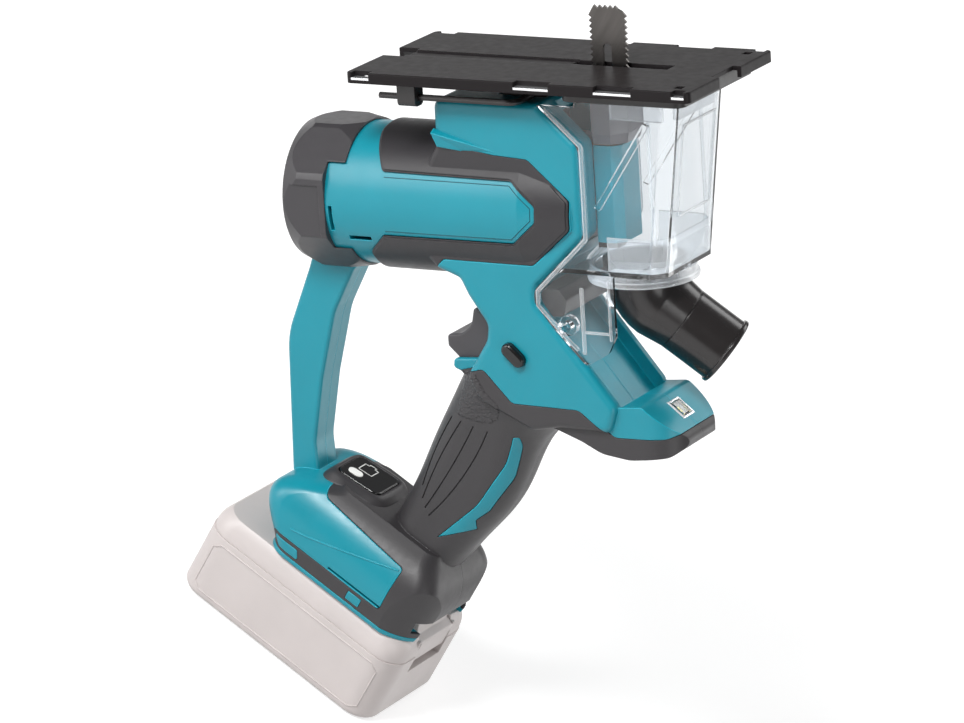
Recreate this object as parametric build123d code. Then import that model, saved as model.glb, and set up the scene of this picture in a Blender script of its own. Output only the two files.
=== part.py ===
from build123d import *
import math
import os

os.makedirs("parts", exist_ok=True)

# Stance: the saw stands on its battery. The tool frame (blade along +Z, barrel along X, origin on
# the blade at the top of the base plate) is tilted by TILT and lifted to HEAD_Z above the floor.
TILT = 33.0
HEAD_X = -5.5
HEAD_Z = 336.0

# Fits
GAP = 0.3
SEAM = 0.25
WALL = 4.0
SKIN = 1.8
PROUD = 1.5

# Base plate
BASE_REAR = -112.0
BASE_FRONT = 60.6
BASE_HALF = 43.0
SHEET = 2.0
FLANGE = 5.0
FRAME_LOW = -9.0

# Barrel, motor and cap
BARREL_Z = -66.5
BARREL_R = 33.0
BARREL_REAR = -133.0
BARREL_FRONT = -9.0
CAP_REAR = -158.0
CAP_R = 36.0
CAP_FLAT = 33.8
CAN_R = 24.0
CAN_REAR = -118.0
CAN_FRONT = -66.0
SHAFT_R = 2.5

# Head and lower body
HEAD_HALF = 27.5
HEAD_FRONT = -4.0
HEAD_TOP = -13.5
NOSE_HALF = 24.0
NOSE_TIP = 39.0
CHANNEL_HALF = 22.0
EDGE = 3.5

# Gear pair and stroke
MODULE = 0.7
PINION_TEETH = 10
GEAR_TEETH = 30
STROKE = 6.0
PIN_R = 2.0
ROLLER_R = 3.5
YOKE_PLAY = 0.75
BLADE_THICK = 1.2
BLADE_REACH = 27.0
BAR_HALF = 4.0
BAR_X = -3.0

# Dust path
RING_X = 12.0
RING_R = 23.0
RING_Z = -95.5
PIPE_R = 15.6
ELBOW_R = 17.3
PIPE_FALL = 40.0
PIPE_TURN = 22.0
BOX_WALL = 2.0

# Trigger, in the standing frame
TRIGGER_LOW = 176.0
TRIGGER_TOP = 202.0
TRIGGER_HALF = 13.0
TRIGGER_REAR = 18.0
TRIGGER_PULL = 5.0

# Foot and battery, in the standing frame
RIM_Z = 46.0
PACK_LENGTH = 115.0
PACK_HALF = 37.0
PACK_SEAM = 35.0
RAIL_HALF = 27.0
NECK_HALF = 22.0
RAIL_LOW = 51.5
RAIL_TOP = 57.0
RAIL_REAR = -24.0
RAIL_FRONT = 44.0

STAND = Pos(HEAD_X, 0, HEAD_Z) * Rot(0, -TILT, 0)
CRANK_R = STROKE / 2
PINION_R = MODULE * PINION_TEETH / 2
GEAR_R = MODULE * GEAR_TEETH / 2
GEAR_Z = BARREL_Z + PINION_R + GEAR_R


def block(x0, x1, y0, y1, z0, z1):
    return Pos((x0 + x1) / 2, (y0 + y1) / 2, (z0 + z1) / 2) * Box(x1 - x0, y1 - y0, z1 - z0)


def rod_x(x0, x1, radius, y=0.0, z=0.0):
    return Pos((x0 + x1) / 2, y, z) * Rot(0, 90, 0) * Cylinder(radius, x1 - x0)


def rod_y(y0, y1, radius, x=0.0, z=0.0):
    return Pos(x, (y0 + y1) / 2, z) * Rot(90, 0, 0) * Cylinder(radius, y1 - y0)


def rod_z(z0, z1, radius, x=0.0, y=0.0):
    return Pos(x, y, (z0 + z1) / 2) * Cylinder(radius, z1 - z0)


def outline(points):
    """Face in the XZ plane from (x, z) or (x, z, corner radius) points."""
    lines = []
    count = len(points)
    for i, point in enumerate(points):
        here = Vector(point[0], point[1])
        radius = point[2] if len(point) > 2 else 0
        before = (Vector(*points[i - 1][:2]) - here).normalized()
        after = (Vector(*points[(i + 1) % count][:2]) - here).normalized()
        half = math.radians(before.get_angle(after)) / 2
        reach = radius / math.tan(half)
        lines.append((here, before, after, reach, radius, half))
    edges = []
    for i, (here, before, after, reach, radius, half) in enumerate(lines):
        leave = here + after * reach
        if radius:
            middle = (before + after).normalized() * (radius / math.sin(half) - radius)
            edges.append(ThreePointArc(here + before * reach, here + middle, leave))
        target = lines[(i + 1) % count]
        edges.append(Line(leave, target[0] + target[1] * target[3]))
    return Plane.XZ * make_face(edges)


def slab(points, half, inset=0.0):
    face = outline(points)
    if inset:
        face = offset(face, amount=-inset, kind=Kind.INTERSECTION)
    return extrude(face, amount=half - inset, both=True)


def side_edges(solid):
    return solid.faces().filter_by(Axis.Y).edges()


def half_of(solid, side):
    return solid & block(-400, 400, min(0, side * 200), max(0, side * 200), -100, 600)


def grip_section(z, rear, front, half, inset):
    width = front - rear - 2 * inset
    height = 2 * (half - inset)
    corner = 0.42 * min(width, height)
    return Pos((rear + front) / 2, 0, z) * RectangleRounded(width, height, corner)


# Body outlines in the tool frame: (x, z, corner radius)
HEAD_OUTLINE = [
    (-77, HEAD_TOP, 5), (-24, HEAD_TOP, 4), (HEAD_FRONT, -32, 6), (HEAD_FRONT, -74, 6),
    (-30, -99.5, 6), (-30, -106, 5), (8, -153, 5), (4, -165, 4), (-22, -164.5, 8),
    (-36, -167, 6), (-62, -155, 6), (-68, -143, 5), (-57, -126, 9), (-56, -118.5, 6),
    (-65, -105.5, 8), (-69, -97.5, 4), (-80, -93.5, 4), (-92, -82, 4), (-92, -60, 4), (-77, -36, 6),
]
BARREL_OUTLINE = [
    (-150, -20), (-56, -20), (-30, -39), (BARREL_FRONT, -57.2), (BARREL_FRONT, -70.8), (-30, -89),
    (-50, -110), (-150, -110),
]
CHANNEL_OUTLINE = [(-26, -107.5), (10.5, -151, 1), (4.5, -158.2, 2), (-32.2, -112.9, 2)]
NOSE_OUTLINE = [
    (-24, -152, 4), (8, -153, 6), (19, -152, 4), (34.5, -164.5, 4), (NOSE_TIP, -170, 4),
    (31, -175.5, 8), (12, -177.5, 20), (-2, -175.5, 15), (-12, -170.5, 12), (-24, -166, 8), (-45, -160, 5),
]
GUARD_OUTLINE = [(-60, -137.5, 1), (-80, -138.8, 1.8), (-80.5, -143, 1.8), (-64, -150, 2)]
GUARD_HALF = 16.5
REACH = 60
STRUT_OUTLINE = [
    (-154, -92, 2), (-158, -103, 20), (-172, -136, 40), (-174.5, -205, 3), (-160, -205, 3),
    (-161, -188, 20), (-155, -157, 40), (-146, -124, 30), (-134, -102, 12), (-120, -92, 2),
]
GRIP_SECTIONS = [
    (82, 13.5, 50, 17), (95, 12.5, 52.5, 16.5), (118, 11.5, 57.5, 17.2), (142, 9.2, 58, 18.2),
    (160, 8.2, 56.5, 20), (174, 8, 59.5, 24), (184, 12, 65, 27),
]
FOOT_FRONT = 58.0
FOOT_SECTIONS = [
    (RIM_Z + GAP, -28, 55, 35.5), (60, -37, 57.5, 36), (70, -41.5, 56.5, 34), (79, -32, 51.5, 29),
    (87, -14, 44, 20),
]


def barrel(inset):
    profile = [
        (BARREL_REAR, 0), (BARREL_REAR, BARREL_R - inset), (-34, BARREL_R - inset),
        (BARREL_FRONT, HEAD_HALF + 1.2 - inset), (BARREL_FRONT, 0),
    ]
    face = Plane.XZ * make_face(Polyline(*profile, close=True))
    body = Pos(0, 0, BARREL_Z) * revolve(face, Axis.X)
    return body & slab(BARREL_OUTLINE, 60, inset)


def channel(inset):
    return slab(CHANNEL_OUTLINE, CHANNEL_HALF, -inset)


def head(inset):
    solid = slab(HEAD_OUTLINE, HEAD_HALF, inset)
    solid = solid if inset else fillet(side_edges(solid), EDGE)
    return solid - channel(inset)


def nose(inset):
    solid = slab(NOSE_OUTLINE, NOSE_HALF, inset)
    plan = RectangleRounded(120, 2 * (NOSE_HALF - inset), 19 - inset)
    plan = Pos(NOSE_TIP - inset - 60, 0, -165) * plan
    return solid & extrude(plan, amount=60, both=True) - channel(inset)


def guard():
    solid = slab(GUARD_OUTLINE, GUARD_HALF)
    return fillet(side_edges(solid), 1.0)


def strut(inset):
    solid = slab(STRUT_OUTLINE, 9.5, inset)
    return solid if inset else fillet(side_edges(solid), 1.9)


def grip(inset):
    return loft([grip_section(*spec, inset) for spec in GRIP_SECTIONS])


def foot_section(z, rear, front, half, inset):
    width = front - rear - 2 * inset
    height = 2 * (half - inset)
    return Pos((rear + front) / 2, 0, z) * RectangleRounded(width, height, 0.16 * height)


def foot(inset):
    floor = FOOT_SECTIONS[0]
    upper = [(z - inset, *rest) for z, *rest in FOOT_SECTIONS[1:]]
    solid = loft([foot_section(*spec, inset) for spec in [floor, *upper]])
    plan = Pos(FOOT_FRONT - inset - 80, 0, 70) * RectangleRounded(160, 2 * (37 - inset), 25 - inset)
    return solid & extrude(plan, amount=60, both=True)


def envelope(inset):
    upper = barrel(inset) + head(inset) + nose(inset) + strut(inset)
    return STAND * upper + grip(inset) + foot(inset)


# Soft cover regions, seen from the side
BARREL_SOFT = [
    (-113, -15), (-113, -34, 4), (-104, -49, 2), (-38, -49.5, 3), (-25.5, -60, 3), (-25.5, -67.5, 3),
    (-37, -78, 3), (-104, -78.5, 2), (-114, -88, 4), (-116, -115), (-80.5, -115), (-80.5, -93, 3),
    (-76, -88.5, 3), (-30, -88.5, 4), (-9.8, -70.5, 3), (-9.8, -57.5, 3), (-30, -39.5, 4),
    (-47, -38.5, 6), (-80, -33.5, 3), (-80, -15),
]
GRIP_SOFT = [
    (-110, -146), (-80, -145, 2), (-59, -139.5, 3), (-45, -154.5, 4), (-11, -155, 6), (5, -167.5, 6),
    (30, -167, 8), (60, -156), (60, -230), (-30, -300), (-160, -230),
]
FOOT_SOFT = [
    (-19, 110), (-19, 85, 3), (-14, 81.5, 4), (35.5, 78, 2), (36.5, 56, 2), (-28, 56, 2), (-28, 48.5, 2),
    (80, 48.5), (80, 110),
]
CRESCENT = [
    (-47.3, -173.3, 1), (-50.3, -173.3, 1), (-56.3, -187.3, 20), (-72.3, -208.3, 30), (-95, -226),
    (-75.5, -221.5, 0.8), (-74.5, -216.5, 0.6), (-67.3, -211.5, 1), (-54.3, -195.3, 20), (-47.3, -178, 8),
]
FOOT_MARK = [(-25.5, 54.5, 0.5), (-12, 54.5, 1), (-9.5, 49.7, 1), (-22, 49.7, 1), (-25.5, 52, 0.5)]
FOOT_SQUARE = [(19, 54.5, 0.5), (27, 54.5, 0.5), (27, 49.7, 0.5), (19, 49.7, 0.5)]


def barrel_region(grow):
    return STAND * slab(BARREL_SOFT, REACH, -grow)


def grip_region(grow):
    upper = STAND * slab(GRIP_SOFT, REACH, -grow) & block(-20, 200, -REACH, REACH, 83, 300)
    solid = upper + slab(FOOT_SOFT, REACH, -grow)
    solid -= STAND * slab(CRESCENT, 2 * REACH, grow)
    for window in (FOOT_MARK, FOOT_SQUARE):
        solid -= slab(window, 2 * REACH, grow)
    return solid


# Grooves in the grip cover, standing frame: three points of each line
GROOVE_WIDE = 0.6
GROOVE_DEEP = 0.7
GROOVES = [
    ((15.7, 150.8), (16.2, 130), (19.2, 111.4)), ((21.4, 153.4), (20.6, 131), (22.6, 106.4)),
    ((27.8, 155.4), (28.0, 132), (26, 103.5)), ((35, 157.9), (35.6, 139), (29.4, 101.3)),
]


def grooves():
    lines = [ThreePointArc(*points) for points in GROOVES]
    faces = [Plane.XZ * trace(line, GROOVE_WIDE) for line in lines]
    strips = [extrude(face, amount=REACH, both=True) for face in faces]
    return Compound(children=strips) & (grip(0) - grip(GROOVE_DEEP))


# Openings in the housing and in the covers
LAMP_X = 26.6
LAMP_Z = -158.1
LAMP_PITCH = 51.1
LAMP_R = 4.0
BUTTON_X = -42.0
BUTTON_Z = -131.0
BUTTON_TURN = 43.0
PANEL_X = -9.5
PANEL_Z = 83.0
PANEL_TILT = -5.0
PANEL_HIGH = 6.2


def lamp_place():
    return STAND * Pos(LAMP_X, 0, LAMP_Z) * Rot(0, 90 - LAMP_PITCH, 0)


def pill(length, width, y0, y1):
    flat = Plane.XZ * (Rot(0, 0, -BUTTON_TURN) * SlotOverall(length, width))
    return STAND * Pos(BUTTON_X, y1, BUTTON_Z) * extrude(flat, amount=y1 - y0)


def panel_place():
    return Pos(PANEL_X, 0, PANEL_Z) * Rot(0, PANEL_TILT, 0)


def panel_plate(grow, height):
    flat = RectangleRounded(24 + 2 * grow, 23 + 2 * grow, 4 + grow)
    return panel_place() * extrude(flat, amount=height)


def openings():
    half = TRIGGER_HALF + 2 * GAP
    deep = TRIGGER_REAR + TRIGGER_PULL + 1.6
    cut = block(-30, deep, -half, half, TRIGGER_LOW - GAP, TRIGGER_TOP + GAP)
    cut += STAND * block(-22, 2, -12.5, 12.5, -80, -8)
    cut += STAND * block(-50, -26, -14, 14, -30, -8)
    cut += lamp_place() * Box(2 * LAMP_R + 0.1, 2 * LAMP_R + 0.1, 16)
    cut += pill(13.1, 6.5, -40, -10)
    cut += block(RAIL_REAR - GAP, 90, -NECK_HALF - GAP, NECK_HALF + GAP, RIM_Z - 5, RAIL_LOW)
    cut += block(RAIL_REAR - GAP, 90, -RAIL_HALF - GAP, RAIL_HALF + GAP, RAIL_LOW - GAP, RAIL_TOP + GAP)
    cut += panel_plate(0.05, 25)
    cut += block(-30.05, 20.05, -21.05, 21.05, RAIL_TOP, 61)
    for side in (-1, 1):
        y0, y1 = sorted((side * 20, side * 45))
        cut += STAND * block(-131.6, -129.6, y0, y1, -78, -66)
        cut += STAND * block(-123, -111.5, y0, y1, -82, -80)
        y0, y1 = sorted((side * 33, side * 45))
        cut += block(5, 36, y0, y1, 56.8, 58)
    return cut


# Screw bosses: (frame, x, z) with the tool frame or the standing frame
TOOL_SCREWS = [(-68, -25), (-52, -104), (-31, -127), (10, -167)]
FOOT_SCREWS = [(34, 148), (32, 104), (-33.5, 69), (46, 69)]


def screw_places():
    return [(STAND, x, z) for x, z in TOOL_SCREWS] + [(Pos(0, 0, 0), x, z) for x, z in FOOT_SCREWS]


def housing(outer, skin):
    shell = outer - envelope(WALL)
    core = envelope(1.0)
    ribs = STAND * (rod_x(-113, -110, BARREL_R, z=BARREL_Z) + rod_x(-75, -72, BARREL_R, z=BARREL_Z))
    ribs -= STAND * rod_x(-140, -60, CAN_R, z=BARREL_Z)
    inner = ribs & STAND * barrel(1.0)
    inner += block(-60, 70, -40, 40, RIM_Z, 60) & foot(1.0)
    inner += switch_ribs() & core
    for place, x, z in screw_places():
        inner += place * rod_y(-30, 30, 4.2, x, z) & core
    shell += inner
    shell -= skin & (barrel_region(SEAM) + grip_region(SEAM))
    shell -= openings()
    for place, x, z in screw_places():
        shell -= place * rod_y(-14, 60, 1.8, x, z)
        shell -= place * rod_y(11, 60, 3.6, x, z)
    return shell


def screws():
    group = []
    for place, x, z in screw_places():
        solid = rod_y(-13, 12, 1.8, x, z) + rod_y(11, 13.5, 3.3, x, z)
        solid -= rod_y(12.2, 14, 1.3, x, z)
        group.append(place * solid)
    return Compound(children=group)


# Base group, tool frame
EDGE_WINDOWS = [(-109, -100), (-26.5, -9), (13.5, 32), (52, 58)]
KEY_Y = -35.0
KEY_Z = -11.6
KEY_R = 1.5
KEY_REAR = -99.0
KEY_FRONT = -30.0
CASE_TOP = -36.0
BASE_BOLTS = [(-44, -8), (-44, 8), (-32, -8), (-32, 8)]


def edge_windows(depth, z0, z1):
    group = []
    for x0, x1 in EDGE_WINDOWS:
        for side in (-1, 1):
            y0, y1 = sorted((side * (BASE_HALF - depth), side * BASE_HALF))
            group.append(block(x0, x1, y0, y1, z0, z1))
    return group


def base_plate():
    plate = block(BASE_REAR, BASE_FRONT, -BASE_HALF, BASE_HALF, -FLANGE, 0)
    plate = fillet(plate.edges().filter_by(Axis.Z), 3.0)
    plate = fillet(plate.faces().sort_by(Axis.Z)[-1].edges(), 0.6)
    inner = BASE_HALF - SHEET
    plate -= block(BASE_REAR + SHEET, BASE_FRONT - SHEET, -inner, inner, -FLANGE - 1, -SHEET)
    plate -= block(-18, 31, -4, 4, -10, 1)
    plate -= block(BASE_REAR - 1, BASE_REAR + 11, -8, 8, -10, 1)
    plate -= block(BASE_FRONT - 4, BASE_FRONT + 1, -12, 10, -10, 1)
    plate -= block(BASE_REAR, -17, -5, 5, -0.7, 1)
    for side in (-1, 1):
        y0, y1 = sorted((side * 32, side * 36.5))
        plate -= block(50, 54, y0, y1, -10, 1)
    for window in edge_windows(4.0, -3.4, 1.0):
        plate -= window
    return plate


def edge_strips():
    return Compound(children=edge_windows(4.0, -3.4, -2.4))


def base_frame():
    frame = block(-7, 54, -37, 37, FRAME_LOW, -SHEET)
    frame = fillet(frame.edges().filter_by(Axis.Z), 5.0)
    frame += block(-70, -6, -26, 26, -9.5, -SHEET)
    frame -= block(-21, 41, -24, 24, -20, 0)
    frame += block(-48, -28, -13, 13, CASE_TOP, -9)
    for x, y in BASE_BOLTS:
        frame -= rod_z(-60, 0, 2.05, x, y)
        frame -= rod_z(-9, 0, 3.6, x, y)
    return frame


def base_bolts():
    group = []
    for x, y in BASE_BOLTS:
        bolt = rod_z(-42, -9, 2.0, x, y) + rod_z(-9, -6, 3.4, x, y)
        bolt -= Pos(x, y, -7) * extrude(RegularPolygon(1.6, 6), amount=3)
        group.append(bolt)
    return Compound(children=group)


def key_profile():
    return Plane.YZ * RegularPolygon(KEY_R, 6)


def hex_key():
    bend = 5.0
    leg = -19.0
    path = Polyline((KEY_REAR, KEY_Y, KEY_Z), (KEY_FRONT, KEY_Y, KEY_Z), (KEY_FRONT, leg, KEY_Z))
    path = fillet(path.vertices(), bend)
    return sweep(Pos(KEY_REAR, KEY_Y, KEY_Z) * key_profile(), path)


def key_clip():
    clip = block(-88, -79, -39, -31, -15.5, -SHEET)
    clip = fillet(clip.edges().filter_by(Axis.X).sort_by(Axis.Z)[:2], 2.5)
    return clip - rod_x(-90, -77, KEY_R + 0.02, KEY_Y, KEY_Z)


# Motor and rear cover, tool frame
def rear_cap():
    rear = CAP_REAR
    lip = BARREL_REAR
    outer = [
        (rear, 0), (rear, 28), (rear + 2.5, 32.6), (-147, CAP_R), (lip, CAP_R), (lip + 9, 34.2),
        (lip + 9, BARREL_R + 0.05), (lip, BARREL_R + 0.05), (lip, 0),
    ]
    inner = [(rear + 3, 0), (rear + 3, 26), (rear + 6, 30), (lip, 30.5), (lip + 0.01, 0)]
    shells = []
    for points in (outer, inner):
        face = Plane.XZ * make_face(Polyline(*points, close=True))
        shells.append(Pos(0, 0, BARREL_Z) * revolve(face, Axis.X))
    cap = shells[0] - shells[1]
    cap -= block(lip, lip + 20, -60, 60, BARREL_Z - 21, BARREL_Z + 20)
    cap += rod_x(rear + 1, -135, 10.5, z=BARREL_Z) - rod_x(-141, -130, 8.0, z=BARREL_Z)
    for side in (-1, 1):
        y0, y1 = sorted((side * 33, side * 60))
        cap -= block(rear - 1, lip - 3, y0, y1, BARREL_Z - 18, BARREL_Z + 9.5)
    for turn in range(0, 360, 45):
        flat = block(rear - 1, lip + 20, -40, 40, CAP_FLAT, 60)
        cap -= Pos(0, 0, BARREL_Z) * Rot(turn, 0, 0) * flat
    cap -= slab(STRUT_OUTLINE, 9.5, -GAP)
    for i in range(5):
        z = BARREL_Z - 12 + 6 * i
        cap -= block(rear - 1, rear + 6, -14, 14, z - 1, z + 1)
    return cap


def motor_can():
    can = rod_x(CAN_REAR, CAN_FRONT, CAN_R, z=BARREL_Z)
    can -= rod_x(CAN_REAR - 1, CAN_FRONT - 2, CAN_R - 2, z=BARREL_Z)
    return can - rod_x(CAN_FRONT - 3, CAN_FRONT + 1, 9, z=BARREL_Z)


def magnets():
    ring = rod_x(-111, -73, CAN_R - 2, z=BARREL_Z) - rod_x(-112, -72, 18, z=BARREL_Z)
    ring -= block(-120, -60, -7, 7, BARREL_Z - 40, BARREL_Z + 40)
    return ring


def armature():
    core = rod_x(-108, -76, 17, z=BARREL_Z)
    for i in range(12):
        slot = block(-109, -75, -1, 1, 12.5, 18)
        core -= Pos(0, 0, BARREL_Z) * Rot(30 * i, 0, 0) * slot
    coils = rod_x(-113, -108, 14.5, z=BARREL_Z) + rod_x(-76, -71, 14.5, z=BARREL_Z)
    return core + coils + rod_x(-140, -37, SHAFT_R, z=BARREL_Z)


def tube_x(x0, x1, outer, inner, y=0.0, z=BARREL_Z):
    return rod_x(x0, x1, outer, y, z) - rod_x(x0 - 1, x1 + 1, inner, y, z)


def commutator():
    bars = tube_x(-127, -116, 9, SHAFT_R)
    for i in range(24):
        cut = block(-128, -117, -0.25, 0.25, 8, 10)
        bars -= Pos(0, 0, BARREL_Z) * Rot(15 * i + 4, 0, 0) * cut
    return bars


def motor_fan():
    fan = tube_x(-64.5, -58.5, 6, SHAFT_R) + tube_x(-60.5, -59, 23, SHAFT_R)
    for i in range(11):
        vane = block(-64.5, -60, -0.8, 0.8, 5, 22)
        fan += Pos(0, 0, BARREL_Z) * Rot(360 / 11 * i, 0, 0) * vane
    return fan


def brush_plate():
    plate = tube_x(-132, -129, BARREL_R - WALL, 11)
    for side in (-1, 1):
        y0, y1 = sorted((side * 11, side * 25))
        plate += block(-130, CAN_REAR - 0.4, y0, y1, BARREL_Z - 5.5, BARREL_Z + 5.5)
        y0, y1 = sorted((side * 9, side * 30))
        plate -= block(-127, -120, y0, y1, BARREL_Z - 4, BARREL_Z + 4)
    return plate


def brushes():
    group = []
    for side in (-1, 1):
        y0, y1 = sorted((side * 9.1, side * 21))
        group.append(block(-127, -120, y0, y1, BARREL_Z - 4, BARREL_Z + 4))
    return Compound(children=group)


# Gears: involute flanks with stub teeth and backlash
def gear_face(teeth, phase):
    pressure = math.radians(25)
    pitch = MODULE * teeth / 2
    base = pitch * math.cos(pressure)
    tip = pitch + 0.8 * MODULE
    root = pitch - 1.05 * MODULE
    lean = math.tan(pressure) - pressure
    half = math.pi / 2 / teeth - 0.07 * MODULE / pitch
    flank = []
    for i in range(6):
        radius = max(base, root) + (tip - max(base, root)) * i / 5
        alpha = math.acos(min(1.0, base / radius))
        flank.append((radius, half + lean - (math.tan(alpha) - alpha)))
    if root < base:
        flank = [(root, flank[0][1])] + flank
    points = []
    for k in range(teeth):
        middle = phase + 2 * math.pi * k / teeth
        ordered = [(r, middle - a) for r, a in flank] + [(r, middle + a) for r, a in reversed(flank)]
        points += [(r * math.cos(t), r * math.sin(t)) for r, t in ordered]
    return Plane.YZ * make_face(Polyline(*points, close=True))


def pinion():
    face = gear_face(PINION_TEETH, math.pi / 2)
    solid = Pos(-48, 0, BARREL_Z) * extrude(face, amount=10)
    return solid - rod_x(-60, -30, SHAFT_R, z=BARREL_Z)


def crank_gear():
    face = gear_face(GEAR_TEETH, -math.pi / 2 + math.pi / GEAR_TEETH)
    solid = Pos(-47, 0, GEAR_Z) * extrude(face, amount=8)
    return solid - rod_x(-60, -30, 4, z=GEAR_Z)


def crank_shaft():
    shaft = rod_x(-56, -29, 4, z=GEAR_Z) + rod_x(-29.5, -25, 8, z=GEAR_Z)
    return shaft + rod_x(-26, -9.5, PIN_R, CRANK_R, GEAR_Z)


def crank_roller():
    return tube_x(-17.5, -10, ROLLER_R, PIN_R, CRANK_R, GEAR_Z)


def bearing(x0, x1, outer, inner, z):
    ring = tube_x(x0, x1, outer, inner, z=z)
    mid = (outer + inner) / 2
    for x in (x0, x1):
        ring -= tube_x(x - 0.6, x + 0.6, mid + 0.9, mid - 0.9, z=z)
    return ring


def gear_case():
    half = HEAD_HALF - WALL
    case = block(-50, -22, -half, half, -84, CASE_TOP)
    case = fillet(case.edges().filter_by(Axis.X), 6)
    case += block(-23, 6, -10, 10, -42, CASE_TOP) + block(-23, 6, -10, 10, -77, -63.2)
    case -= rod_x(-51, -37, GEAR_R + 1.6, z=GEAR_Z) + rod_x(-51, -36.5, PINION_R + 1.8, z=BARREL_Z)
    case -= rod_x(-40, -30, 9.5, z=GEAR_Z) + rod_x(-31, -20, 9, z=GEAR_Z)
    case -= block(BAR_X - 7, BAR_X + 7, -6, 6, -90, -30)
    case -= block(-24, -9, -7, 7, -62.5, -42.2)
    for x, y in BASE_BOLTS:
        case -= rod_z(-42, -30, 2.0, x, y)
    return case


def gear_cover():
    cover = block(-57, -50, -20, 20, -82, -40)
    cover = fillet(cover.edges().filter_by(Axis.X), 8)
    cover -= rod_x(-60, -51, 8, z=BARREL_Z) + rod_x(-60, -40, 4.5, z=BARREL_Z)
    cover -= rod_x(-56.5, -49, 5.5, z=GEAR_Z)
    return cover


def guide_bushes():
    group = []
    for z0, z1 in ((-42, CASE_TOP), (-77, -63.2)):
        bush = block(BAR_X - 7, BAR_X + 7, -6, 6, z0, z1)
        half = BAR_HALF + 0.05
        group.append(bush - block(BAR_X - 5.05, BAR_X + 5.05, -half, half, z0 - 1, z1 + 1))
    return Compound(children=group)


# Plunger and blade, tool frame
SEAT_TOP = -20.0
SEAT_LOW = -32.0
CLAMP_Z = -26.0


def plunger():
    half = BLADE_THICK / 2
    bar = block(BAR_X - 5, BAR_X + 5, -BAR_HALF, BAR_HALF, -84, SEAT_LOW)
    bar += block(BAR_X - 5, BAR_X + 5, half, BAR_HALF, SEAT_LOW - 1, SEAT_TOP)
    tall = ROLLER_R + YOKE_PLAY
    bar += block(-18.5, BAR_X - 4.5, -10.5, 10.5, GEAR_Z - tall - 3, GEAR_Z + tall + 3)
    reach = ROLLER_R + CRANK_R + 0.4
    bar -= block(-19, BAR_X - 5, -reach, reach, GEAR_Z - tall, GEAR_Z + tall)
    return bar - rod_y(-10, 10, 2.0, BAR_X, CLAMP_Z)


def clamp_plate():
    half = BLADE_THICK / 2
    plate = block(BAR_X - 5, BAR_X + 7, -4.2, -half, SEAT_LOW, SEAT_TOP)
    plate = fillet(plate.edges().filter_by(Axis.Y), 1.5)
    return plate - rod_y(-10, 10, 2.0, BAR_X, CLAMP_Z)


def clamp_screw():
    screw = rod_y(-4.2, BAR_HALF, 2.0, BAR_X, CLAMP_Z) + rod_y(-7.4, -4.2, 3.6, BAR_X, CLAMP_Z)
    socket = Plane.XZ * RegularPolygon(1.7, 6)
    return screw - Pos(BAR_X, -5.4, CLAMP_Z) * extrude(socket, amount=4)


def blade():
    left, right, low = -9.0, 10.0, -12.0
    pitch, depth = 2.6, 1.5
    points = [(BAR_X - 4.5, SEAT_LOW), (BAR_X + 5, SEAT_LOW), (BAR_X + 5, low - 3), (right - depth, low)]
    count = int((BLADE_REACH - low - 3) / pitch)
    for i in range(count):
        z = low + 2 + i * pitch
        points += [(right - depth, z), (right, z + 0.4 * pitch)]
    points += [(right - depth - 0.5, BLADE_REACH - 2.5), (right - 4, BLADE_REACH - depth)]
    across = int((right - 4 - left) / pitch)
    for i in range(across):
        x = right - 4 - i * pitch
        points += [(x - 0.6 * pitch, BLADE_REACH), (x - pitch, BLADE_REACH - depth)]
    for i in range(count):
        z = low + 2 + (count - 1 - i) * pitch
        points += [(left, z + 0.4 * pitch), (left + depth, z)]
    points += [(left + depth, low), (BAR_X - 4.5, low - 3)]
    solid = extrude(outline(points), amount=BLADE_THICK / 2, both=True)
    solid -= slab([(-2.4, 9.5, 2), (1.8, 9.5, 2), (1.8, -8, 2), (-2.4, -8, 2)], 5)
    return solid - rod_y(-5, 5, 2.0, BAR_X, CLAMP_Z)


# Dust path, tool frame
BOX_HALF = 27.5
BOX_FRONT = 45.0
BOX_TOE = 35.0
BOX_TOP = FRAME_LOW - 2 * GAP
FLOOR_Z = -91.0
BOX_OUTLINE = [
    (-30, HEAD_TOP - 0.4), (-5, HEAD_TOP - 0.4), (-5, BOX_TOP), (BOX_FRONT, BOX_TOP), (BOX_TOE, FLOOR_Z),
    (10, FLOOR_Z, 1),
    (10, -119, 3), (6, -127, 3), (-5, -133.5, 3), (-31, -106, 2), (-31, -98), (-8, -76), (-8, -30),
]
TAIL_BOSS = (-15, -116)
RIB_LINE = [(2, -60), (4.5, -61), (31, -21), (28.5, -20)]


BOX_BEVEL = 6.0
RIM_WIDE = 3.2
RIM_PROUD = 0.8


def front_edges(solid):
    edges = side_edges(solid).filter_by(lambda e: e.center().X > 24)
    return edges.filter_by(lambda e: e.length > 60)


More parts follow.
